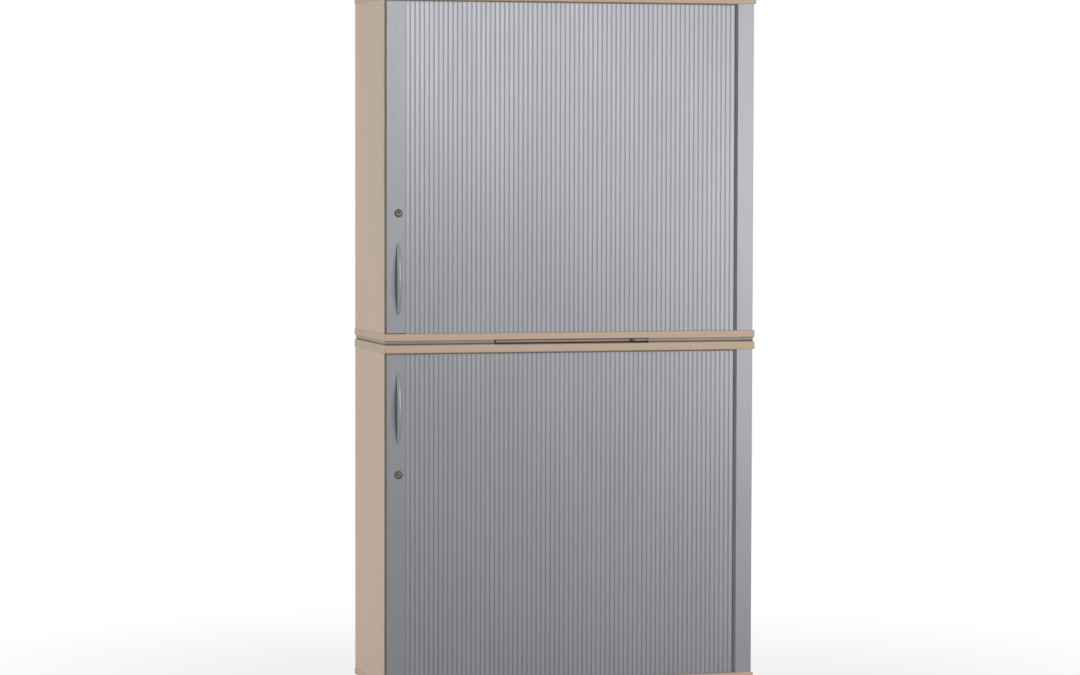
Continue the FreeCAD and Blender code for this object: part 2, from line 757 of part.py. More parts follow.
def pull_out():
    level = f"({lower['roof']} + runner_wall)"
    half = "(slot_width / 2 - pullout_gap)"
    lip_y = f"({frame_y} + lip_recess)"
    item = board("pullout_shelf", f"-{half}", f"{lip_y} + lip_thickness", level, f"2 * {half}",
                 "pullout_depth", "pullout_thickness")
    node(item, "pullout_shelf")
    lip = new_body("pullout_lip", "0", f"{lip_y} + lip_thickness", f"{level} + lip_lift")
    radius = "(lip_height / 2)"
    side = f"(slot_width / 2 - lip_gap - {radius})"
    stadium = [
        (f"-{side}", "0"),
        (side, "0", radius, "left"),
        (f"{side} + {radius}", radius, radius, "left"),
        (side, "lip_height"),
        (f"-{side}", "lip_height", radius, "left"),
        (f"-{side} - {radius}", radius, radius, "left"),
    ]
    pad(lip, "XZ", [stadium], "lip_thickness")
    node(lip, "pullout_lip")
    runners = []
    y = f"({frame_y} + frame_bar)"
    for side, sign in (("left", ""), ("right", "-")):
        runner = new_body(f"pullout_runner_{side}", "0", y, lower["roof"])
        outer = f"{sign}(-slot_width / 2 - runner_wall)"
        wall = f"{sign}(-slot_width / 2)"
        edge = f"{sign}(runner_lip - slot_width / 2)"
        corners = [
            (outer, "0"),
            (edge, "0"),
            (edge, "runner_wall"),
            (wall, "runner_wall"),
            (wall, "runner_height"),
            (outer, "runner_height"),
        ]
        length = "pullout_depth + lip_thickness + lip_recess - frame_bar"
        pad(runner, "XZ", [corners], length).Reversed = True
        runners.append(runner)
    node(group("pullout_runners", runners), "pullout_runners")


# Levelling feet, each with its stem in a socket under the lower unit

def levelling_feet():
    sockets = []
    x_places = {"left": f"{left_end} + foot_inset", "right": "width / 2 - foot_inset"}
    y_places = {"front": f"{front} + foot_inset", "back": f"{front} + depth - foot_inset"}
    low = "foot_height - socket_height"
    for row, y in y_places.items():
        for side, x in x_places.items():
            corner = f"{row}_{side}"
            hexagon = doc.addObject("Part::Prism", f"{corner}_foot_pad")
            bind(hexagon, Circumradius="foot_pad_radius", Height="foot_pad_height")
            place(hexagon, x, y, "0")
            foot = doc.addObject("Part::Fuse", f"{corner}_foot")
            foot.Base = hexagon
            foot.Tool = rod(f"{corner}_stem", "z", x, y, "0", "stem_radius", "foot_height - stem_end_gap")
            node(foot, f"{corner}_foot")
            block = board(f"{corner}_block", f"{x} - socket_width / 2", f"{y} - socket_width / 2", low,
                          "socket_width", "socket_width", "socket_height")
            bore = rod(f"{corner}_bore", "z", x, y, f"{low} - overrun", "stem_radius + stem_fit",
                       "socket_height + 2 * overrun")
            sockets.append(cut(f"{corner}_socket", block, [bore]))
    node(group("foot_sockets", sockets), "foot_sockets")


for name, unit in units.items():
    carcass(name, unit)
    door(name, unit)
jamb_brushes()
stacking_frame()
pull_out()
levelling_feet()
doc.recompute()

for item in doc.Objects:
    if "Invalid" in item.State or "Error" in item.State:
        raise RuntimeError(f"{item.Label} did not build: {item.State}")
for label, item in nodes.items():
    if item.Shape.isNull() or not item.Shape.isValid() or not item.Shape.Solids:
        raise RuntimeError(f"{label} has no valid solid")

os.makedirs("parts", exist_ok=True)
for label, item in nodes.items():
    item.Shape.exportStep(f"parts/{label}.step")
print(f"{len(nodes)} pieces written")
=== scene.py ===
import json
import math

import bmesh
import bpy
from mathutils import Matrix, Quaternion, Vector

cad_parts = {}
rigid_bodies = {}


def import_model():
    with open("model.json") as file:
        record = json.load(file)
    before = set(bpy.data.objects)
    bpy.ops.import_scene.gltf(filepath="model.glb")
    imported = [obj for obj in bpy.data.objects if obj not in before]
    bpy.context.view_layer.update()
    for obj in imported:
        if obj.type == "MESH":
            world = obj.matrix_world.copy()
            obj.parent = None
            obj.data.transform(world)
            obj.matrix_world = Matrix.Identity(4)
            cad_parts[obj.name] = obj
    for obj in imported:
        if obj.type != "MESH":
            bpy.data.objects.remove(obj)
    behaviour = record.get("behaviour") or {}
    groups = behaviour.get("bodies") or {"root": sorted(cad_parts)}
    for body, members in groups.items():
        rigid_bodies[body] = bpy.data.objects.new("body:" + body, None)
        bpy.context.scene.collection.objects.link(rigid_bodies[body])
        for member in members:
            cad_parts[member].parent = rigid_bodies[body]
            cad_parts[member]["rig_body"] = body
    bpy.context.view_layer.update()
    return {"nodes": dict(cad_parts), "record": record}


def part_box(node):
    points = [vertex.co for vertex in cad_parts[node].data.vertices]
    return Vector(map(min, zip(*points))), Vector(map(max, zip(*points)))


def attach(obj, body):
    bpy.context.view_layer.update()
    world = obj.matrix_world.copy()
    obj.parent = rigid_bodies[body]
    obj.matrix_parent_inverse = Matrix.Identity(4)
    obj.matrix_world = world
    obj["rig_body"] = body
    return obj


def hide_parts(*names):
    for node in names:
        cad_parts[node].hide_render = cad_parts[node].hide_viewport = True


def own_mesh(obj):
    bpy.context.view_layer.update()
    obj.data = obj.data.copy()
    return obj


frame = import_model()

# Looks of a stack of two tambour cabinets: beech boards, silver slats and rails, grey stacking frame.

units = ("upper", "lower")
slotOf = {part["node"]: part["material_slot"] for part in frame["record"]["subparts"]}
quarter = math.pi / 2


# Small helpers for meshes

meshLimits = {"same": 1e-6, "nodeSame": 1e-5, "flatDegrees": 0.5}


def camelName(node):
    first, *rest = node.split("_")
    return first + "".join(word.capitalize() for word in rest)


def bodyOf(node):
    return frame["nodes"][node]["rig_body"]


def finishPiece(name, bm, materials, nodes=(), body=None, slot=None, smoothAngle=None):
    mesh = bpy.data.meshes.new(name)
    bm.to_mesh(mesh)
    bm.free()
    for material in materials:
        mesh.materials.append(material)
    if smoothAngle:
        mesh.shade_smooth()
        mesh.set_sharp_from_angle(angle=math.radians(smoothAngle))
    piece = bpy.data.objects.new(name, mesh)
    bpy.context.scene.collection.objects.link(piece)
    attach(piece, body or bodyOf(nodes[0]))
    if nodes:
        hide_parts(*nodes)
    return piece


def vertsOf(geometry):
    return [item for item in geometry if isinstance(item, bmesh.types.BMVert)]


def edgesWithin(bm, loop):
    members = set(loop)
    return [edge for edge in bm.edges if members.issuperset(edge.verts)]


def bevelEdges(bm, edges, radius, segments):
    bmesh.ops.bevel(bm, geom=edges, offset=radius, offset_type="OFFSET", affect="EDGES",
                    segments=segments, profile=0.5, material=-1, clamp_overlap=True)
    bmesh.ops.dissolve_degenerate(bm, dist=meshLimits["same"], edges=bm.edges)


def addBlock(bm, low, high):
    made = bmesh.ops.create_cube(bm, size=1)["verts"]
    bmesh.ops.scale(bm, vec=Vector(high) - Vector(low), verts=made)
    bmesh.ops.translate(bm, vec=(Vector(low) + Vector(high)) / 2, verts=made)


def addOutline(bm, points):
    return bm.faces.new([bm.verts.new(point) for point in points])


def extrudeFace(bm, face, along):
    made = bmesh.ops.extrude_face_region(bm, geom=[face])["geom"]
    bmesh.ops.translate(bm, vec=along, verts=vertsOf(made))
    bmesh.ops.recalc_face_normals(bm, faces=bm.faces)


def extrudeLoop(bm, loop, moves):
    # draws a loop in the XY plane on along Z, scaled about the axis at each step, and caps it
    for shift, scale in moves:
        loop = vertsOf(bmesh.ops.extrude_edge_only(bm, edges=edgesWithin(bm, loop))["geom"])
        bmesh.ops.translate(bm, vec=(0, 0, shift), verts=loop)
        bmesh.ops.scale(bm, vec=(scale, scale, 1), verts=loop)
    bmesh.ops.contextual_create(bm, geom=edgesWithin(bm, loop))


def spinProfile(bm, points, centre, axis, steps):
    verts = [bm.verts.new(point) for point in points]
    edges = [bm.edges.new(pair) for pair in zip(verts, verts[1:])]
    bmesh.ops.spin(bm, geom=verts + edges, cent=centre, axis=axis, angle=2 * math.pi, steps=steps,
                   use_merge=True)
    bmesh.ops.remove_doubles(bm, verts=bm.verts, dist=meshLimits["same"])
    bmesh.ops.recalc_face_normals(bm, faces=bm.faces)


def mergedCopy(node):
    bm = bmesh.new()
    bm.from_mesh(frame["nodes"][node].data)
    bmesh.ops.remove_doubles(bm, verts=bm.verts, dist=meshLimits["nodeSame"])
    bmesh.ops.dissolve_limit(bm, angle_limit=math.radians(meshLimits["flatDegrees"]),
                             verts=bm.verts, edges=bm.edges)
    return bm


# Small helpers for shader nodes

def addNode(tree, kind, **settings):
    node = tree.nodes.new(kind)
    for name, setting in settings.items():
        setattr(node, name, setting)
    return node


def newGroup(name, outputs):
    group = bpy.data.node_groups.new(name, "ShaderNodeTree")
    group.interface.new_socket(name="Vector", in_out="INPUT", socket_type="NodeSocketVector")
    for label in outputs:
        group.interface.new_socket(name=label, in_out="OUTPUT", socket_type="NodeSocketFloat")
    vector = addNode(group, "NodeGroupInput").outputs["Vector"]
    return group, vector, addNode(group, "NodeGroupOutput").inputs


def mapped(tree, vector, label, setting):
    node = addNode(tree, "ShaderNodeMapping")
    node.inputs[label].default_value = setting
    tree.links.new(vector, node.inputs["Vector"])
    return node.outputs["Vector"]


def noise(tree, vector, form):
    node = addNode(tree, "ShaderNodeTexNoise")
    for label in ("Scale", "Detail", "Roughness", "Distortion"):
        node.inputs[label].default_value = form[label.lower()]
    if "stretch" in form:
        vector = mapped(tree, vector, "Scale", form["stretch"])
    tree.links.new(vector, node.inputs["Vector"])
    return node.outputs["Fac"]


def remap(tree, value, span, target=(0, 1)):
    node = addNode(tree, "ShaderNodeMapRange", clamp=True)
    for label, setting in zip(("From Min", "From Max", "To Min", "To Max"), span + target):
        node.inputs[label].default_value = setting
    tree.links.new(value, node.inputs["Value"])
    return node.outputs["Result"]


def combine(tree, operation, first, second):
    node = addNode(tree, "ShaderNodeMath", operation=operation)
    for socket, item in zip(node.inputs, (first, second)):
        if isinstance(item, (int, float)):
            socket.default_value = item
        else:
            tree.links.new(item, socket)
    return node.outputs["Value"]


def weighted(tree, first, firstShare, second, secondShare):
    return combine(tree, "ADD", combine(tree, "MULTIPLY", first, firstShare),
                   combine(tree, "MULTIPLY", second, secondShare))


# Shared shader groups

grainForm = {
    "broad": {"stretch": (0.55, 7, 7), "scale": 1.6, "detail": 4, "roughness": 0.55, "distortion": 0.8},
    "fine": {"stretch": (3, 90, 90), "scale": 2.4, "detail": 3, "roughness": 0.6, "distortion": 0.2},
    "dash": {"stretch": (60, 420, 420), "scale": 2.2, "detail": 1, "roughness": 0.4, "distortion": 0},
    "broadShare": 0.62, "fineShare": 0.38, "toneSpan": (0.3, 0.7), "fleckSpan": (0.62, 0.74),
}
drawnForm = {
    "line": {"stretch": (900, 900, 6), "scale": 1, "detail": 3, "roughness": 0.6, "distortion": 0},
    "cloud": {"stretch": (6, 6, 2.2), "scale": 1, "detail": 3, "roughness": 0.5, "distortion": 0},
}
mottleForm = {
    "grain": {"scale": 1400, "detail": 2, "roughness": 0.5, "distortion": 0},
    "patch": {"scale": 9, "detail": 4, "roughness": 0.55, "distortion": 0},
}


def makeGrainGroup():
    # grain runs along X of the vector it is given
    group, vector, end = newGroup("beechGrain", ["Tone", "Fleck", "Pore"])
    broad = noise(group, vector, grainForm["broad"])
    fine = noise(group, vector, grainForm["fine"])
    dash = noise(group, vector, grainForm["dash"])
    tone = weighted(group, broad, grainForm["broadShare"], fine, grainForm["fineShare"])
    group.links.new(remap(group, tone, grainForm["toneSpan"]), end["Tone"])
    group.links.new(remap(group, dash, grainForm["fleckSpan"]), end["Fleck"])
    group.links.new(fine, end["Pore"])
    return group


def makeDrawnGroup():
    # drawing lines run along Z of the vector it is given
    group, vector, end = newGroup("drawnLines", ["Line", "Cloud"])
    group.links.new(noise(group, vector, drawnForm["line"]), end["Line"])
    group.links.new(noise(group, vector, drawnForm["cloud"]), end["Cloud"])
    return group


def makeMottleGroup():
    # fine grain of a moulded or powder-coated skin, with soft patches of handling
    group, vector, end = newGroup("mottledSkin", ["Grain", "Patch"])
    group.links.new(noise(group, vector, mottleForm["grain"]), end["Grain"])
    group.links.new(noise(group, vector, mottleForm["patch"]), end["Patch"])
    return group


grainGroup = makeGrainGroup()
drawnGroup = makeDrawnGroup()
mottleGroup = makeMottleGroup()
print("shader groups ready")


# Materials

finish = {
    "ior": 1.45, "span": (0.3, 0.7), "patchSpan": (0.25, 0.75),   # spans are the middle of a noise
    "cloudShare": 0.7, "lineShare": 0.3, "rougher": 0.06, "smoother": 0.05, "drawnSmoother": 0.04,
    "grainBump": 0.0002, "skinBump": 0.0001,
}


def srgb(red, green, blue):
    def linear(level):
        share = level / 255
        return share / 12.92 if share <= 0.04045 else ((share + 0.055) / 1.055) ** 2.4
    return (linear(red), linear(green), linear(blue), 1)


def startMaterial(name, look):
    material = bpy.data.materials.new(name)
    material.use_nodes = True
    tree = material.node_tree
    shader = tree.nodes["Principled BSDF"]
    shader.inputs["Metallic"].default_value = look["metallic"]
    shader.inputs["IOR"].default_value = finish["ior"]
    place = addNode(tree, "ShaderNodeTexCoord").outputs["Object"]
    material.diffuse_color = srgb(*look["light"])
    return material, tree, shader, place


def placeGroup(tree, group, vector):
    node = addNode(tree, "ShaderNodeGroup", node_tree=group)
    tree.links.new(vector, node.inputs["Vector"])
    return node.outputs


def mixColours(tree, factor, first, second):
    node = addNode(tree, "ShaderNodeMix", data_type="RGBA")
    tree.links.new(factor, node.inputs["Factor"])
    for label, item in (("A", first), ("B", second)):
        socket = next(s for s in node.inputs if s.name == label and s.type == "RGBA")
        if isinstance(item, tuple):
            socket.default_value = item
        else:
            tree.links.new(item, socket)
    return next(s for s in node.outputs if s.type == "RGBA")


def skinColour(tree, factor, look):
    return mixColours(tree, factor, srgb(*look["dark"]), srgb(*look["light"]))


def addBump(tree, shader, height, strength, distance):
    bump = addNode(tree, "ShaderNodeBump")
    bump.inputs["Strength"].default_value = strength
    bump.inputs["Distance"].default_value = distance
    tree.links.new(height, bump.inputs["Height"])
    tree.links.new(bump.outputs["Normal"], shader.inputs["Normal"])


def beechMaterial(name, turn, look):
    material, tree, shader, place = startMaterial(name, look)
    grain = placeGroup(tree, grainGroup, mapped(tree, place, "Rotation", turn))
    fleck = combine(tree, "MULTIPLY", grain["Fleck"], look["fleckShare"])
    wood = mixColours(tree, fleck, skinColour(tree, grain["Tone"], look), srgb(*look["fleck"]))
    rough = (look["rough"] - finish["smoother"], look["rough"] + finish["rougher"])
    tree.links.new(wood, shader.inputs["Base Color"])
    tree.links.new(remap(tree, grain["Pore"], finish["span"], rough), shader.inputs["Roughness"])
    addBump(tree, shader, grain["Pore"], look["bump"], finish["grainBump"])
    return material


def drawnMaterial(name, turn, look):
    material, tree, shader, place = startMaterial(name, look)
    drawn = placeGroup(tree, drawnGroup, mapped(tree, place, "Rotation", turn))
    blend = weighted(tree, drawn["Cloud"], finish["cloudShare"], drawn["Line"], finish["lineShare"])
    skin = skinColour(tree, remap(tree, blend, finish["span"]), look)
    rough = (look["rough"] - finish["drawnSmoother"], look["rough"] + finish["rougher"])
    tree.links.new(skin, shader.inputs["Base Color"])
    tree.links.new(remap(tree, drawn["Line"], finish["span"], rough), shader.inputs["Roughness"])
    addBump(tree, shader, drawn["Line"], look["bump"], finish["skinBump"])
    return material


def mouldedMaterial(name, look):
    material, tree, shader, place = startMaterial(name, look)
    mottle = placeGroup(tree, mottleGroup, place)
    skin = skinColour(tree, remap(tree, mottle["Patch"], finish["span"]), look)
    rough = (look["rough"] + finish["rougher"], look["rough"] - finish["smoother"])
    tree.links.new(skin, shader.inputs["Base Color"])
    tree.links.new(remap(tree, mottle["Patch"], finish["patchSpan"], rough), shader.inputs["Roughness"])
    addBump(tree, shader, mottle["Grain"], look["bump"], finish["skinBump"])
    return material


beechLook = {"light": (216, 194, 173), "dark": (207, 184, 162), "fleck": (166, 140, 116), "fleckShare": 0.25,
             "metallic": 0, "rough": 0.48, "bump": 0.06}
bandLook = {"light": (206, 182, 157), "dark": (198, 173, 148), "fleck": (164, 137, 112), "fleckShare": 0.25,
            "metallic": 0, "rough": 0.5, "bump": 0.06}
backLook = {"light": (196, 177, 158), "dark": (184, 163, 142), "fleck": (158, 132, 108), "fleckShare": 0.3,
            "metallic": 0, "rough": 0.6, "bump": 0.08}
slatLook = {"light": (137, 138, 142), "dark": (132, 133, 137), "metallic": 0.6, "rough": 0.31, "bump": 0.03}
# painted shade: the darker grey on the floors of the slat grooves
grooveShadeLook = {"light": (119, 120, 125), "dark": (114, 115, 120), "metallic": 0.6, "rough": 0.34, "bump": 0.03}
profileLook = {"light": (128, 129, 133), "dark": (123, 124, 128), "metallic": 0.6, "rough": 0.34,
               "bump": 0.05}
postLook = {"light": (134, 134, 138), "dark": (130, 130, 134), "metallic": 0.6, "rough": 0.34, "bump": 0.05}
handleLook = {"light": (146, 147, 152), "dark": (139, 140, 145), "metallic": 0.4, "rough": 0.32, "bump": 0.02}
lockRingLook = {"light": (86, 80, 74), "dark": (74, 69, 64), "metallic": 0.4, "rough": 0.36, "bump": 0.05}
lockFaceLook = {"light": (128, 128, 121), "dark": (118, 117, 110), "metallic": 0.5, "rough": 0.34,
                "bump": 0.08}
steelLook = {"light": (190, 190, 188), "dark": (176, 176, 175), "metallic": 0.9, "rough": 0.36, "bump": 0.08}
frameLook = {"light": (160, 152, 142), "dark": (152, 145, 135), "metallic": 0.25, "rough": 0.46, "bump": 0.12}
# painted shade: the darker coat on frame faces towards front and back
frameFrontShadeLook = {"light": (141, 136, 129), "dark": (134, 129, 122), "metallic": 0.25, "rough": 0.46, "bump": 0.12}
lipLook = {"light": (220, 213, 200), "dark": (212, 205, 192), "metallic": 0, "rough": 0.5, "bump": 0.1}
# painted light: the pale coat on the end of the right front bar in the slot
slotWallPaintedLightLook = {"light": (240, 236, 229), "dark": (234, 230, 222), "metallic": 0, "rough": 0.5, "bump": 0.1}
# painted shade: the dark brown of the gaps under the frame bars and behind the pull-out lip
gapShadeLook = {"light": (115, 105, 95), "dark": (106, 97, 87), "metallic": 0, "rough": 0.65, "bump": 0.1}
coveLook = {"light": (170, 162, 152), "dark": (161, 153, 143), "metallic": 0, "rough": 0.5, "bump": 0.1}
brushLook = {"light": (116, 117, 121), "dark": (102, 103, 107), "metallic": 0, "rough": 0.75, "bump": 0.3}
latchLook = {"light": (98, 96, 86), "dark": (90, 88, 79), "metallic": 0, "rough": 0.55, "bump": 0.1}
# painted shade: the brown in the gap between the side panel and the leading rail
railGapShadeLook = {"light": (128, 112, 99), "dark": (118, 102, 90), "metallic": 0, "rough": 0.55, "bump": 0.1}
# painted shade: the dark brown inside the keyholes
keyholeShadeLook = {"light": (86, 73, 60), "dark": (76, 64, 52), "metallic": 0, "rough": 0.6, "bump": 0.05}
# painted shade: the brown of the strips under the top panels and around the slot
shadeStripLook = {"light": (118, 107, 96), "dark": (110, 100, 90), "metallic": 0, "rough": 0.65, "bump": 0.1}
darkLook = {"light": (52, 51, 50), "dark": (43, 42, 42), "metallic": 0, "rough": 0.55, "bump": 0.15}

unturned = (0, 0, 0)
aboutX = (quarter, 0, 0)
aboutY = (0, quarter, 0)

beechUpright = beechMaterial("beechUpright", aboutY, beechLook)
beechAcross = beechMaterial("beechAcross", unturned, beechLook)
beechBand = beechMaterial("beechBand", unturned, bandLook)
beechBack = beechMaterial("beechBack", aboutY, backLook)
slatSilver = drawnMaterial("slatSilver", unturned, slatLook)
slatGrooveShade = drawnMaterial("slatGrooveShade", unturned, grooveShadeLook)
profileSilver = drawnMaterial("profileSilver", unturned, profileLook)
postSilver = drawnMaterial("postSilver", unturned, postLook)
handleSilver = mouldedMaterial("handleSilver", handleLook)
lockRingNickel = mouldedMaterial("lockRingNickel", lockRingLook)
lockFaceNickel = drawnMaterial("lockFaceNickel", aboutX, lockFaceLook)
platedSteel = drawnMaterial("platedSteel", unturned, steelLook)
frameCoat = mouldedMaterial("frameCoat", frameLook)
frontCoat = mouldedMaterial("frontCoat", frameFrontShadeLook)
lipGrey = mouldedMaterial("lipGrey", lipLook)
slotWallPaintedLight = mouldedMaterial("slotWallPaintedLight", slotWallPaintedLightLook)
gapShadeBrown = mouldedMaterial("gapShadeBrown", gapShadeLook)
coveGrey = mouldedMaterial("coveGrey", coveLook)
darkMoulding = mouldedMaterial("darkMoulding", darkLook)
brushDark = drawnMaterial("brushDark", aboutY, brushLook)
latchOlive = mouldedMaterial("latchOlive", latchLook)
railGapShadeBrown = mouldedMaterial("railGapShadeBrown", railGapShadeLook)
keyholeShade = mouldedMaterial("keyholeShade", keyholeShadeLook)
shadeStripBrown = mouldedMaterial("shadeStripBrown", shadeStripLook)
print("materials ready")


# Carcass boards

boardEdges = {"panelRim": 0.0026, "panelRound": 0.0011, "panelSegments": 3, "sharpDegrees": 30,
              "levelFacing": 0.8, "boardRound": 0.0012, "boardSegments": 2}


def panelPiece(node):
    # the panel keeps its grooves; its banded edges round over
    bm = mergedCopy(node)
    low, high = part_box(node)
    rim = boardEdges["panelRim"]
    sharp = math.radians(boardEdges["sharpDegrees"])

    def onRim(place):
        return any(place[axis] < low[axis] + rim or place[axis] > high[axis] - rim for axis in (0, 1))

    def broken(edge):
        return all(onRim(vert.co) for vert in edge.verts) and edge.calc_face_angle(0) > sharp

    bevelEdges(bm, [edge for edge in bm.edges if broken(edge)], boardEdges["panelRound"],
               boardEdges["panelSegments"])
    bm.normal_update()
    for face in bm.faces:
        banded = onRim(face.calc_center_median()) and abs(face.normal.z) < boardEdges["levelFacing"]
        face.material_index = int(banded)
    finishPiece(camelName(node), bm, [beechAcross, beechBand], [node])


def boardMesh(node):
    bm = bmesh.new()
    addBlock(bm, *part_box(node))
    bevelEdges(bm, bm.edges[:], boardEdges["boardRound"], boardEdges["boardSegments"])
    return bm


def boardPiece(node, material):
    finishPiece(camelName(node), boardMesh(node), [material], [node])


for unit in units:
    for part in ("top_panel", "bottom_panel"):
        panelPiece(f"{unit}_{part}")
    boardPiece(f"{unit}_right_side_panel", beechUpright)
    boardPiece(f"{unit}_pocket_partition", beechUpright)
    for part in ("low_shelf", "high_shelf"):
        boardPiece(f"{unit}_{part}", beechAcross)
    for part in ("back_panel", "inner_back"):
        boardPiece(f"{unit}_{part}", beechBack)
print("boards ready")


# Tambour curtain

curtain = {
    "slats": 76, "bendSlats": 4, "pitch": 0.015, "thickness": 0.008, "flat": 0.0107, "wall": 0.0003,
    "grooveDepth": 0.0008, "back": 0.0132, "tongue": 0.0078, "gap": 0.0003, "frontRound": 0.0004,
    "roundSegments": 2, "frontFacing": 0.9, "bendRadius": 0.04, "straight": 1.061, "keepShare": 0.004,
}


def addSlat(bm, foot, head):
    # an upright slat about the Z axis, facing -Y; its wedge reaches into the hollow side of the next one
    half = curtain["thickness"] / 2
    flat, back, tongue = curtain["flat"] / 2, curtain["back"] / 2, curtain["tongue"]
    root = flat + curtain["wall"]
    hollow = tongue + curtain["gap"] - curtain["pitch"]
    bottom = curtain["grooveDepth"] - half
    outline = [(-flat, -half), (flat, -half), (root, bottom), (tongue, bottom), (back, half), (-back, half),
               (hollow, bottom), (-root, bottom)]
    extrudeFace(bm, addOutline(bm, [(x, y, foot) for x, y in outline]), (0, 0, head - foot))
    middle = curtain["grooveDepth"] / 2 - half
    upright = [edge for edge in bm.edges if abs(edge.verts[0].co.z - edge.verts[1].co.z) > half]
    bevelEdges(bm, [edge for edge in upright if edge.verts[0].co.y < middle], curtain["frontRound"],
               curtain["roundSegments"])
    bm.normal_update()
    for face in bm.faces:     # the floor of the groove takes a darker grey, painted shade in the groove
        inGroove = face.normal.y < -curtain["frontFacing"] and face.calc_center_median().y > middle
        face.material_index = int(inGroove)
    return bm.verts[:] + bm.edges[:] + bm.faces[:]


def slatPlace(index, start):
    # slats follow each other from the rail, round the corner and along the right side
    radius, straight, pitch = curtain["bendRadius"], curtain["straight"], curtain["pitch"]
    run = index * pitch + pitch / 2
    turn = min(max(run - straight, 0) / radius, quarter)
    past = max(run - straight - radius * quarter, 0)
    across = min(run, straight) + radius * math.sin(turn)
    inward = radius - radius * math.cos(turn) + past
    return Matrix.Translation(start + Vector((across, inward, 0))) @ Matrix.Rotation(turn, 4, "Z")


def curtainEnd(unit):
    # the first wedge fits the rail as the wedges fit the slats
    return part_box(f"{unit}_lead_rail")[1].x - (curtain["tongue"] - curtain["pitch"] / 2)


def curtainPiece(unit, name, numbers, **riding):
    low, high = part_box(f"{unit}_tambour_slats")
    start = Vector((curtainEnd(unit), low.y + curtain["thickness"] / 2, 0))
    bm = bmesh.new()
    model = addSlat(bm, low.z, high.z)
    for index in numbers:
        made = bmesh.ops.duplicate(bm, geom=model)["geom"]
        bmesh.ops.transform(bm, matrix=slatPlace(index, start), verts=vertsOf(made))
    bmesh.ops.delete(bm, geom=vertsOf(model), context="VERTS")
    return finishPiece(name, bm, [slatSilver, slatGrooveShade], **riding)


for unit in units:
    node = f"{unit}_tambour_slats"
    bendFrom = curtain["slats"] - curtain["bendSlats"]
    drawn = curtainPiece(unit, f"{unit}Curtain", range(bendFrom), nodes=[node])
    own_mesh(drawn)
    # the corner holds slats however far the door is open, so these stay in it
    curtainPiece(unit, f"{unit}CurtainBend", range(bendFrom, curtain["slats"]),
                 body=bodyOf(f"{unit}_corner_cove"), slot=slotOf[node])
print("curtains ready")


# Leading rails, jamb posts and the side panels beside the rails

profileEdge = {"round": 0.0012, "segments": 3, "longerThan": 0.5, "cornerDegrees": 60}


def profilePiece(node, material):
    # long outer edges round over
    bm = mergedCopy(node)
    corner = math.radians(profileEdge["cornerDegrees"])
    long = [edge for edge in bm.edges if edge.calc_length() > profileEdge["longerThan"]
            and len(edge.link_faces) == 2 and edge.calc_face_angle_signed(0) > corner]
    bevelEdges(bm, long, profileEdge["round"], profileEdge["segments"])
    finishPiece(camelName(node), bm, [material], [node])


for unit in units:
    profilePiece(f"{unit}_lead_rail", profileSilver)
    profilePiece(f"{unit}_jamb_post", postSilver)
    profilePiece(f"{unit}_left_side_panel", beechUpright)
print("profiles ready")


# Brushes along the door opening, and strips of painted shade beside the rails and under the top panels

brushForm = {"tip": 0.0007, "round": 0.0002, "segments": 1}
railGapShadeForm = {"inset": 0.0005, "gap": 0.0003, "front": 0.0022, "round": 0.0006, "segments": 2}
headForm = {"drop": 0.0042, "front": 0.003, "back": 0.0012, "round": 0.0004, "segments": 2}


def brushPiece():
    # dark brushes that close the slots between the curtains and the posts, thinner at the tip
    low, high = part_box("jamb_brushes")
    bm = bmesh.new()
    for unit in units:
        foot, head = (corner.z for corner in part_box(f"{unit}_lead_rail"))
        outline = [(high.x, low.y), (low.x, high.y - brushForm["tip"]), (low.x, high.y), (high.x, high.y)]
        extrudeFace(bm, addOutline(bm, [(x, y, foot) for x, y in outline]), (0, 0, head - foot))
    bevelEdges(bm, bm.edges[:], brushForm["round"], brushForm["segments"])
    finishPiece("jambBrushes", bm, [brushDark], ["jamb_brushes"])


def railGapShadePiece(unit):
    # brown strip on the side panel that the leading rail closes against, painted shade in the gap behind the
    # rail
    side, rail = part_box(f"{unit}_left_side_panel"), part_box(f"{unit}_lead_rail")
    bm = bmesh.new()
    addBlock(bm, (side[0].x + railGapShadeForm["inset"], rail[0].y + railGapShadeForm["front"], rail[0].z),
             (rail[0].x - railGapShadeForm["gap"], side[0].y, rail[1].z))
    bevelEdges(bm, bm.edges[:], railGapShadeForm["round"], railGapShadeForm["segments"])
    finishPiece(f"{unit}RailGapShade", bm, [railGapShadeBrown], body=bodyOf(f"{unit}_left_side_panel"),
                slot="dark_plastic")


def headPiece(unit):
    # brown strip under the top panel, before the rail and the curtain, up to the post: painted shadow of the
    # panel's overhang
    rail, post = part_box(f"{unit}_lead_rail"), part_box(f"{unit}_jamb_post")
    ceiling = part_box(f"{unit}_left_side_panel")[1].z
    bm = bmesh.new()
    addBlock(bm, (rail[0].x, rail[0].y - headForm["front"], ceiling - headForm["drop"]),
             (post[0].x, rail[0].y - headForm["back"], ceiling))
    bevelEdges(bm, bm.edges[:], headForm["round"], headForm["segments"])
    finishPiece(f"{unit}HeadShadeStrip", bm, [shadeStripBrown], body=bodyOf(f"{unit}_top_panel"), slot="dark_plastic")


brushPiece()
for unit in units:
    railGapShadePiece(unit)
    headPiece(unit)
print("seals ready")


# Bow handles

bow = {"length": 0.222, "width": 0.014, "endWidth": 0.01, "projection": 0.024, "bar": 0.0095, "foot": 0.027,
       "stations": 44, "sides": 28, "squareness": 2.05, "spanShare": 0.9995, "leastWide": 1e-5,
       "leastDeep": 2e-5, "smooth": 50}


def arcHeight(place, halfSpan, rise):
    if abs(place) >= halfSpan:
        return 0
    radius = (halfSpan ** 2 + rise ** 2) / (2 * rise)
    return math.sqrt(radius ** 2 - place ** 2) - (radius - rise)


def drawnFrom(vert, loop):
    # number of the vertex in the last ring that this one was drawn from
    return next(index for index, old in enumerate(loop)
                if any(edge.other_vert(old) is vert for edge in old.link_edges))


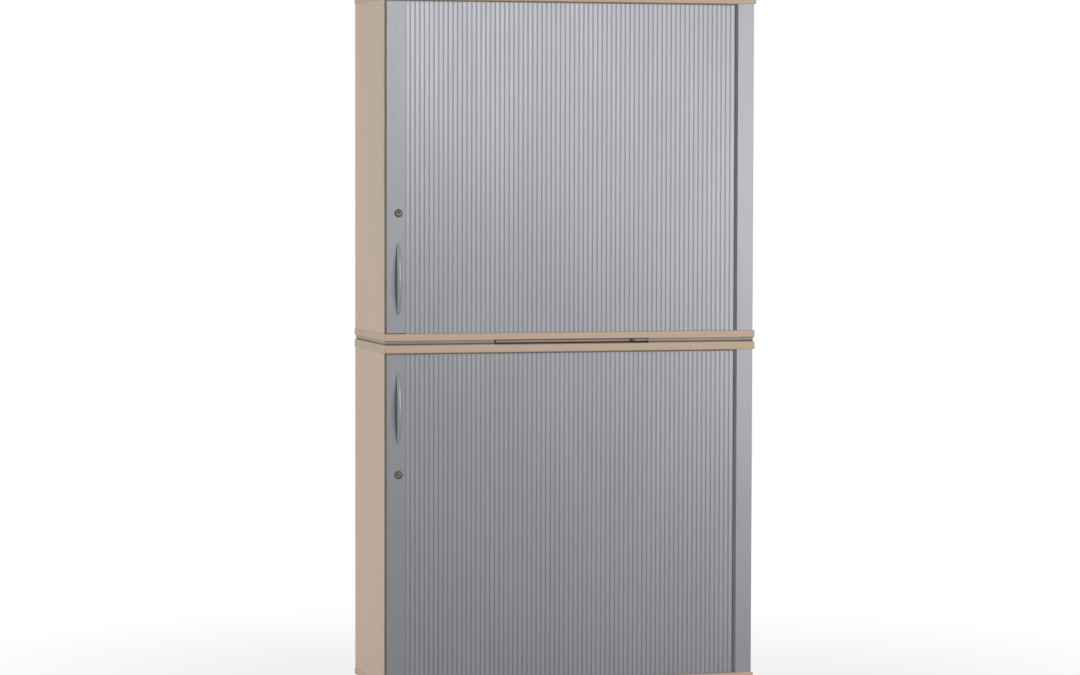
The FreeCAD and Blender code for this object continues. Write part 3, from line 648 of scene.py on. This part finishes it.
def handlePiece(unit):
    node = f"{unit}_pull_handle"
    low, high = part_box(node)
    middle = (low + high) / 2
    half = bow["length"] / 2
    tip = bow["endWidth"] / 2
    flank = half - tip
    power = 2 / bow["squareness"]
    bm = bmesh.new()
    loop = bmesh.ops.create_circle(bm, segments=bow["sides"], radius=1)["verts"]
    shares = [(vert.co.x, vert.co.y) for vert in loop]
    for station in range(bow["stations"] + 1):
        along = -math.cos(math.pi * station / bow["stations"]) * half * bow["spanShare"]
        wide = tip + arcHeight(along, flank, bow["width"] / 2 - tip)
        if abs(along) > flank:     # the ends are round
            wide = math.sqrt(max(tip ** 2 - (abs(along) - flank) ** 2, 0)) + bow["leastWide"]
        outer = arcHeight(along, half, bow["projection"]) + bow["leastDeep"]
        inner = arcHeight(along, half - bow["foot"], bow["projection"] - bow["bar"])
        if station:
            fresh = vertsOf(bmesh.ops.extrude_edge_only(bm, edges=edgesWithin(bm, loop))["geom"])
            loop = sorted(fresh, key=lambda vert: drawnFrom(vert, loop))
        for vert, (x, y) in zip(loop, shares):
            vert.co = Vector((
                middle.x + wide * math.copysign(abs(x) ** power, x),
                high.y - (outer + inner) / 2 - (outer - inner) / 2 * math.copysign(abs(y) ** power, y),
                middle.z + along,
            ))
    bmesh.ops.holes_fill(bm, edges=bm.edges, sides=bow["sides"])
    bmesh.ops.recalc_face_normals(bm, faces=bm.faces)
    finishPiece(f"{unit}Handle", bm, [handleSilver], [node], smoothAngle=bow["smooth"])


for unit in units:
    handlePiece(unit)
print("handles ready")


# Locks

lockForm = {
    "steps": 64, "smooth": 40, "rimWide": 0.0056, "rimDrop": 0.0009, "lip": 0.0004, "barrel": 0.009,
    "clear": 0.00005, "edge": 0.0004, "tail": 0.004, "tailLength": 0.0032, "keySides": 32, "keyWide": 0.004,
    "keyTail": 0.0021, "keyDrop": 0.0072, "keyPower": 4, "keyDeep": 0.0015,
    "keyTurn": {"upper": 0, "lower": 62},     # degrees, as photographed
}


def housingPiece(unit):
    housing = f"{unit}_lock_housing"
    low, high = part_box(housing)
    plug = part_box(f"{unit}_lock_plug")
    centre = Vector(((low.x + high.x) / 2, 0, (low.z + high.z) / 2))
    ring, barrel = (high.x - low.x) / 2, lockForm["barrel"]
    bore = (plug[1].x - plug[0].x) / 2 + lockForm["clear"]
    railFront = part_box(f"{unit}_lead_rail")[0].y
    rim, drop, lip = ring - lockForm["rimWide"], lockForm["rimDrop"], lockForm["lip"]
    section = [(bore, high.y), (bore, low.y + drop + lip), (bore + lip, low.y + drop),
               (rim - lip, low.y + drop), (rim, low.y + lip), (rim + lip, low.y), (ring - 2 * drop, low.y),
               (ring - drop, low.y + lip), (ring, low.y + 2 * drop), (ring, railFront), (barrel, railFront),
               (barrel, high.y), (bore, high.y)]
    bm = bmesh.new()
    spinProfile(bm, [centre + Vector((x, y, 0)) for x, y in section], centre, (0, 1, 0), lockForm["steps"])
    for face in bm.faces:     # the dished face inside the ring is brighter
        flat = face.calc_center_median() - centre
        dished = flat.xz.length < rim - lip / 2 and flat.y < railFront
        face.material_index = int(dished)
    finishPiece(f"{unit}LockHousing", bm, [lockRingNickel, lockFaceNickel], [housing],
                smoothAngle=lockForm["smooth"])


def plugPiece(unit):
    plug = f"{unit}_lock_plug"
    low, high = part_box(plug)
    radius = (high.x - low.x) / 2
    edge, tailLength = lockForm["edge"], lockForm["tailLength"]
    shoulder = high.y - low.y - tailLength
    bm = bmesh.new()
    rim = bmesh.ops.create_circle(bm, segments=lockForm["steps"], radius=radius - edge)["verts"]
    key = bmesh.ops.create_circle(bm, segments=lockForm["keySides"], radius=lockForm["keyWide"])["verts"]
    for vert in key:
        if vert.co.y < 0:     # the lower half draws down into the tail of the keyhole
            share = -vert.co.y / lockForm["keyWide"]
            vert.co.x *= 1 - share * (1 - lockForm["keyTail"] / lockForm["keyWide"])
            vert.co.y -= share ** lockForm["keyPower"] * lockForm["keyDrop"] / 2
        vert.co.y += lockForm["keyDrop"] / 4
    bmesh.ops.bridge_loops(bm, edges=bm.edges[:])
    extrudeLoop(bm, key, [(-lockForm["keyDeep"], 1)])
    extrudeLoop(bm, rim, [(-edge, radius / (radius - edge)), (edge - shoulder, 1),
                          (0, lockForm["tail"] / radius), (-tailLength, 1)])
    bmesh.ops.recalc_face_normals(bm, faces=bm.faces)
    centre = Vector(((low.x + high.x) / 2, low.y, (low.z + high.z) / 2))
    turn = Matrix.Rotation(math.radians(lockForm["keyTurn"][unit]), 4, "Z")
    stand = Matrix.Translation(centre) @ Matrix.Rotation(quarter, 4, "X") @ turn
    bmesh.ops.transform(bm, matrix=stand, verts=bm.verts)
    for face in bm.faces:     # the inside of the keyhole is painted shade
        place = face.calc_center_median() - centre
        face.material_index = int(place.y > edge / 2 and place.xz.length < radius / 2)
    finishPiece(f"{unit}LockPlug", bm, [lockFaceNickel, keyholeShade], [plug], smoothAngle=lockForm["smooth"])


for unit in units:
    housingPiece(unit)
    plugPiece(unit)
print("locks ready")


# Stacking frame

frameForm = {"round": 0.0003, "segments": 2, "shadedFootHeight": 0.0038, "shadedFootStep": 0.0012, "wall": 0.002,
             "endFacing": 0.999, "frontFacing": 0.7, "slotFacing": 0.9,
             "capDepth": 0.008, "capGap": 0.00004, "capRound": 0.0001, "capSegments": 1}


def framePiece(node):
    # the coated bar stands on a recessed foot in dark brown, painted shade under the bar; its faces towards
    # front and back take a darker coat, painted shade; the side bars are open at their ends
    low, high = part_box(node)
    level = low.z + frameForm["shadedFootHeight"]
    step = Vector((frameForm["shadedFootStep"], frameForm["shadedFootStep"], 0))
    materials = [frameCoat, frontCoat, gapShadeBrown]
    bm = bmesh.new()
    addBlock(bm, (low.x, low.y, level), high)
    bevelEdges(bm, bm.edges[:], frameForm["round"], frameForm["segments"])
    if high.y - low.y > high.x - low.x:
        for face in [face for face in bm.faces if abs(face.normal.y) > frameForm["endFacing"]]:
            inward = -face.normal * frameForm["capDepth"]
            bmesh.ops.inset_individual(bm, faces=[face], thickness=frameForm["wall"])
            extrudeFace(bm, face, inward)
            bm.faces.remove(face)
    coated = set(bm.faces)
    # faces towards front or back take the coat with painted shade
    for face in coated:
        face.material_index = int(abs(face.normal.y) > frameForm["frontFacing"])
    if node == "frame_front_right_bar":     # its end in the slot takes a pale coat, painted light
        materials.append(slotWallPaintedLight)
        for face in coated:
            if face.normal.x < -frameForm["slotFacing"]:
                face.material_index = materials.index(slotWallPaintedLight)
    # the recessed foot, in brown painted shade
    addBlock(bm, low + step, Vector((high.x, high.y, level)) - step)
    for face in set(bm.faces) - coated:
        face.material_index = materials.index(gapShadeBrown)
    finishPiece(camelName(node), bm, materials, [node])


def capPiece():
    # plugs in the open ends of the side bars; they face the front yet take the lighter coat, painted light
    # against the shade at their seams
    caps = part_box("frame_end_caps")
    gap, depth = frameForm["capGap"], frameForm["capDepth"]
    edge = frameForm["wall"] + frameForm["round"] + gap
    bm = bmesh.new()
    for side in ("left", "right"):
        low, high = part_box(f"frame_{side}_bar")
        for start in (caps[0].y, caps[1].y - depth):
            addBlock(bm, (low.x + edge, start + gap, low.z + frameForm["shadedFootHeight"] + edge),
                     (high.x - edge, start + depth - gap, high.z - edge))
    bevelEdges(bm, bm.edges[:], frameForm["capRound"], frameForm["capSegments"])
    finishPiece("frameEndCaps", bm, [frameCoat], ["frame_end_caps"])


for side in ("left", "right", "back", "front_left", "front_right"):
    framePiece(f"frame_{side}_bar")
capPiece()
print("frame ready")


# Pull-out shelf in the slot of the frame

slotShadeForm = {"setback": 0.0001, "deep": 0.0019}
lipForm = {"crown": 0.001, "segments": 8, "endShare": 0.98, "frontRound": 0.0008, "frontSegments": 2}
latchForm = {"share": 0.907, "wide": 0.0085, "rise": 0.0014, "deep": 0.004, "forward": 0.0125,
             "plateRise": 0.002, "plateGap": 0.0003, "round": 0.0003, "segments": 2}
shelfForm = {"frontFacing": 0.7}


def slotShadeTrim():
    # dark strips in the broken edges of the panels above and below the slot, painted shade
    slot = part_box("frame_front_left_bar")[1].x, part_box("frame_front_right_bar")[0].x
    below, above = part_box("lower_top_panel"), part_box("upper_bottom_panel")
    front, deep = above[0].y + slotShadeForm["setback"], slotShadeForm["deep"]
    bm = bmesh.new()
    for level, rise in ((above[0].z, deep), (below[1].z, -deep)):
        outline = [(front, level), (front + deep, level), (front, level + rise)]
        extrudeFace(bm, addOutline(bm, [(slot[0], y, z) for y, z in outline]), (slot[1] - slot[0], 0, 0))
    finishPiece("slotShadeTrim", bm, [shadeStripBrown], body=bodyOf("upper_bottom_panel"), slot="dark_plastic")


def lipPiece():
    # slim strip with round ends, a little taller than its solid
    low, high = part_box("pullout_lip")
    high.z += lipForm["crown"]
    bm = bmesh.new()
    addBlock(bm, low, high)
    ends = [edge for edge in bm.edges if abs(edge.verts[0].co.y - edge.verts[1].co.y) > lipForm["frontRound"]]
    bevelEdges(bm, ends, (high.z - low.z) / 2 * lipForm["endShare"], lipForm["segments"])
    front = [edge for edge in bm.edges if all(vert.co.y < low.y + meshLimits["same"] for vert in edge.verts)]
    bevelEdges(bm, front, lipForm["frontRound"], lipForm["frontSegments"])
    finishPiece("pullOutLip", bm, [lipGrey], ["pullout_lip"])


def latchPieces():
    # dark latch across the lip, and the coated plate between it and the right end; the plate takes the darker
    # front coat, painted shade
    low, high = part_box("pullout_lip")
    left = low.x + (high.x - low.x) * latchForm["share"]
    right = left + latchForm["wide"]
    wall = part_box("frame_front_right_bar")[0].x - latchForm["plateGap"]
    front, back = low.y - latchForm["forward"], low.y + latchForm["deep"]
    for name, material, slot, start, end, rise in (
        ("pullOutLatch", latchOlive, "dark_plastic", left, right, latchForm["rise"]),
        ("pullOutPlate", frontCoat, "frame_coat", right, wall, latchForm["plateRise"]),
    ):
        bm = bmesh.new()
        addBlock(bm, (start, front, low.z), (end, back, high.z + rise))
        bevelEdges(bm, bm.edges[:], latchForm["round"], latchForm["segments"])
        finishPiece(name, bm, [material], body="pullout", slot=slot)


def pullOutBoard():
    # beech shelf whose front edge behind the lip is dark brown, painted shade
    bm = boardMesh("pullout_shelf")
    bm.normal_update()
    for face in bm.faces:
        face.material_index = int(face.normal.y < -shelfForm["frontFacing"])
    finishPiece("pulloutShelf", bm, [beechAcross, gapShadeBrown], ["pullout_shelf"])


slotShadeTrim()
lipPiece()
latchPieces()
pullOutBoard()
print("pull-out ready")


# Levelling feet

footForm = {"pad": 0.009, "sides": 6, "bottom": 0.024, "top": 0.0225, "edge": 0.0012, "edgeSegments": 2,
            "stem": 0.005, "rootShare": 0.86, "thread": 0.0015, "sink": 0.001, "short": 0.001, "steps": 32,
            "smooth": 30}


def footPiece(node):
    # hexagonal pad with a threaded stem
    low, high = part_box(node)
    centre = (low + high) / 2
    pad, sides, pitch = footForm["pad"], footForm["sides"], footForm["thread"]
    crest = footForm["stem"]
    root = crest * footForm["rootShare"]
    bm = bmesh.new()
    made = bmesh.ops.create_cone(bm, cap_ends=True, segments=sides, radius1=footForm["bottom"],
                                 radius2=footForm["top"], depth=pad)["verts"]
    bmesh.ops.rotate(bm, cent=(0, 0, 0), matrix=Matrix.Rotation(math.pi / sides, 3, "Z"), verts=made)
    bmesh.ops.translate(bm, vec=(centre.x, centre.y, low.z + pad / 2), verts=made)
    bevelEdges(bm, bm.edges[:], footForm["edge"], footForm["edgeSegments"])
    start, end = low.z + pad - footForm["sink"], high.z - footForm["short"]
    profile = [(0, start)]
    for turn in range(int((high.z - low.z - pad) / pitch)):
        level = start + turn * pitch
        profile += [(root, level), (crest, level + pitch / 2)]
    profile += [(root, end), (0, end)]
    spinProfile(bm, [(centre.x + x, centre.y, z) for x, z in profile], (centre.x, centre.y, 0), (0, 0, 1),
                footForm["steps"])
    finishPiece(camelName(node), bm, [darkMoulding], [node], smoothAngle=footForm["smooth"])


for row in ("front", "back"):
    for side in ("left", "right"):
        footPiece(f"{row}_{side}_foot")
print("feet ready")


# Pieces that keep their solid

unitFinish = {
    "top_track": darkMoulding, "bottom_track": darkMoulding, "corner_cove": coveGrey,
    "rail_guides": darkMoulding, "lock_cam": platedSteel, "strike_plate": platedSteel,
    "shelf_brackets": platedSteel,
}
sharedFinish = {"stacking_tabs": platedSteel, "pullout_runners": frameCoat, "foot_sockets": darkMoulding}


def dress(node, material):
    mesh = frame["nodes"][node].data
    mesh.materials.clear()
    mesh.materials.append(material)


for unit in units:
    for part, material in unitFinish.items():
        dress(f"{unit}_{part}", material)
for node, material in sharedFinish.items():
    dress(node, material)
print("solids dressed")


# Studio

white = (1, 1, 1, 1)
floorForm = {"radius": 6.0, "sides": 96, "colour": (236, 236, 235), "rough": 0.9, "fade": (1.0, 2.2),
             "fadeShares": (0.7, 1)}
studio = {
    "ambient": 0.335,
    "lamps": {
        "keyAbove": {"place": (1.5, -7.0, 2.55), "aim": (0.1, 0, 1.2), "size": (1.6, 1.7), "watts": 36},
        "middleFill": {"place": (0.3, -7.0, 2.5), "aim": (0.1, 0, 1.2), "size": (1.6, 1.6), "watts": 29},
        "rightFill": {"place": (3.9, -7.0, 1.2), "aim": (0.1, 0, 1.2), "size": (1.6, 2.0), "watts": 75},
        "farFill": {"place": (5.1, -7.0, 3.6), "aim": (0.1, 0, 1.2), "size": (1.6, 1.6), "watts": 88},
        "sideFill": {"place": (-4.8, -0.6, 1.9), "aim": (-0.6, 0, 1.5), "size": (2.4, 2.0), "watts": 40},
        "lowSideFill": {"place": (-2.6, 0.1, 0.35), "aim": (-0.6, 0, 0.2), "size": (1.2, 0.6), "watts": 0.9,
                        "tint": (1, 0.6, 0.15)},
        "rearFill": {"place": (1.5, 4.2, 1.15), "aim": (0, 0.2, 1.1), "size": (2.4, 1.8), "watts": 100},
        "topFill": {"place": (0, 0.5, 4.8), "aim": (0, 0.3, 2.2), "size": (2.4, 1.4), "watts": 20},
    },
}
viewpoint = {"place": (-3.196, -11.412, 1.702), "yaw": 15.42, "pitch": 2.869, "roll": 0.13,
             "focalPixels": 3738, "imageWidth": 1080, "sensor": 36}


def seenRay(tree):
    # one where the eye, a reflection or a clear part looks at the backdrop
    path = addNode(tree, "ShaderNodeLightPath")
    mirrored = combine(tree, "MAXIMUM", path.outputs["Is Glossy Ray"], path.outputs["Is Transmission Ray"])
    return combine(tree, "MAXIMUM", path.outputs["Is Camera Ray"], mirrored)


def mixSurface(tree, share, lit, seen, output):
    mix = addNode(tree, "ShaderNodeMixShader")
    tree.links.new(share, mix.inputs["Fac"])
    tree.links.new(lit, mix.inputs[1])
    tree.links.new(seen, mix.inputs[2])
    tree.links.new(mix.outputs["Shader"], tree.nodes[output].inputs["Surface"])


def makeFloor():
    # pale paper that keeps the shadow near the object and fades to white
    bm = bmesh.new()
    bmesh.ops.create_circle(bm, cap_ends=True, segments=floorForm["sides"], radius=floorForm["radius"])
    mesh = bpy.data.meshes.new("studioFloor")
    bm.to_mesh(mesh)
    bm.free()
    floor = bpy.data.objects.new("studioFloor", mesh)
    bpy.context.scene.collection.objects.link(floor)
    material = bpy.data.materials.new("floorPaper")
    material.use_nodes = True
    tree = material.node_tree
    paper = tree.nodes["Principled BSDF"]
    paper.inputs["Base Color"].default_value = srgb(*floorForm["colour"])
    paper.inputs["Roughness"].default_value = floorForm["rough"]
    glow = addNode(tree, "ShaderNodeEmission")
    glow.inputs["Color"].default_value = white
    length = addNode(tree, "ShaderNodeVectorMath", operation="LENGTH")
    tree.links.new(addNode(tree, "ShaderNodeTexCoord").outputs["Object"], length.inputs[0])
    fade = remap(tree, length.outputs["Value"], floorForm["fade"], floorForm["fadeShares"])
    mixSurface(tree, combine(tree, "MULTIPLY", seenRay(tree), fade), paper.outputs["BSDF"],
               glow.outputs["Emission"], "Material Output")
    mesh.materials.append(material)


def makeWorld():
    world = bpy.data.worlds.new("studioWorld")
    bpy.context.scene.world = world
    world.use_nodes = True
    tree = world.node_tree
    ambient = tree.nodes["Background"]
    ambient.inputs["Color"].default_value = white
    ambient.inputs["Strength"].default_value = studio["ambient"]
    backdrop = addNode(tree, "ShaderNodeBackground")
    backdrop.inputs["Color"].default_value = white
    mixSurface(tree, seenRay(tree), ambient.outputs["Background"], backdrop.outputs["Background"],
               "World Output")


def makeLamps():
    for name, lamp in studio["lamps"].items():
        light = bpy.data.lights.new(name, "AREA")
        light.shape = "RECTANGLE"
        light.size, light.size_y = lamp["size"]
        light.energy = lamp["watts"]
        light.color = lamp.get("tint", white[:3])
        holder = bpy.data.objects.new(name, light)
        holder.location = lamp["place"]
        holder.rotation_mode = "QUATERNION"
        aim = Vector(lamp["aim"]) - Vector(lamp["place"])
        holder.rotation_quaternion = aim.to_track_quat("-Z", "Y")
        bpy.context.scene.collection.objects.link(holder)


def makeCamera():
    camera = bpy.data.cameras.new("photoView")
    camera.sensor_width = viewpoint["sensor"]
    camera.lens = viewpoint["focalPixels"] * viewpoint["sensor"] / viewpoint["imageWidth"]
    holder = bpy.data.objects.new("photoView", camera)
    yaw, pitch = math.radians(viewpoint["yaw"]), math.radians(viewpoint["pitch"])
    look = Vector((math.sin(yaw) * math.cos(pitch), math.cos(yaw) * math.cos(pitch), -math.sin(pitch)))
    holder.rotation_mode = "QUATERNION"
    roll = Quaternion((0, 0, 1), math.radians(viewpoint["roll"]))
    holder.rotation_quaternion = look.to_track_quat("-Z", "Y") @ roll
    holder.location = viewpoint["place"]
    bpy.context.scene.collection.objects.link(holder)
    bpy.context.scene.camera = holder


makeFloor()
makeWorld()
makeLamps()
makeCamera()
bpy.context.scene.view_settings.view_transform = "Standard"
print("studio ready")
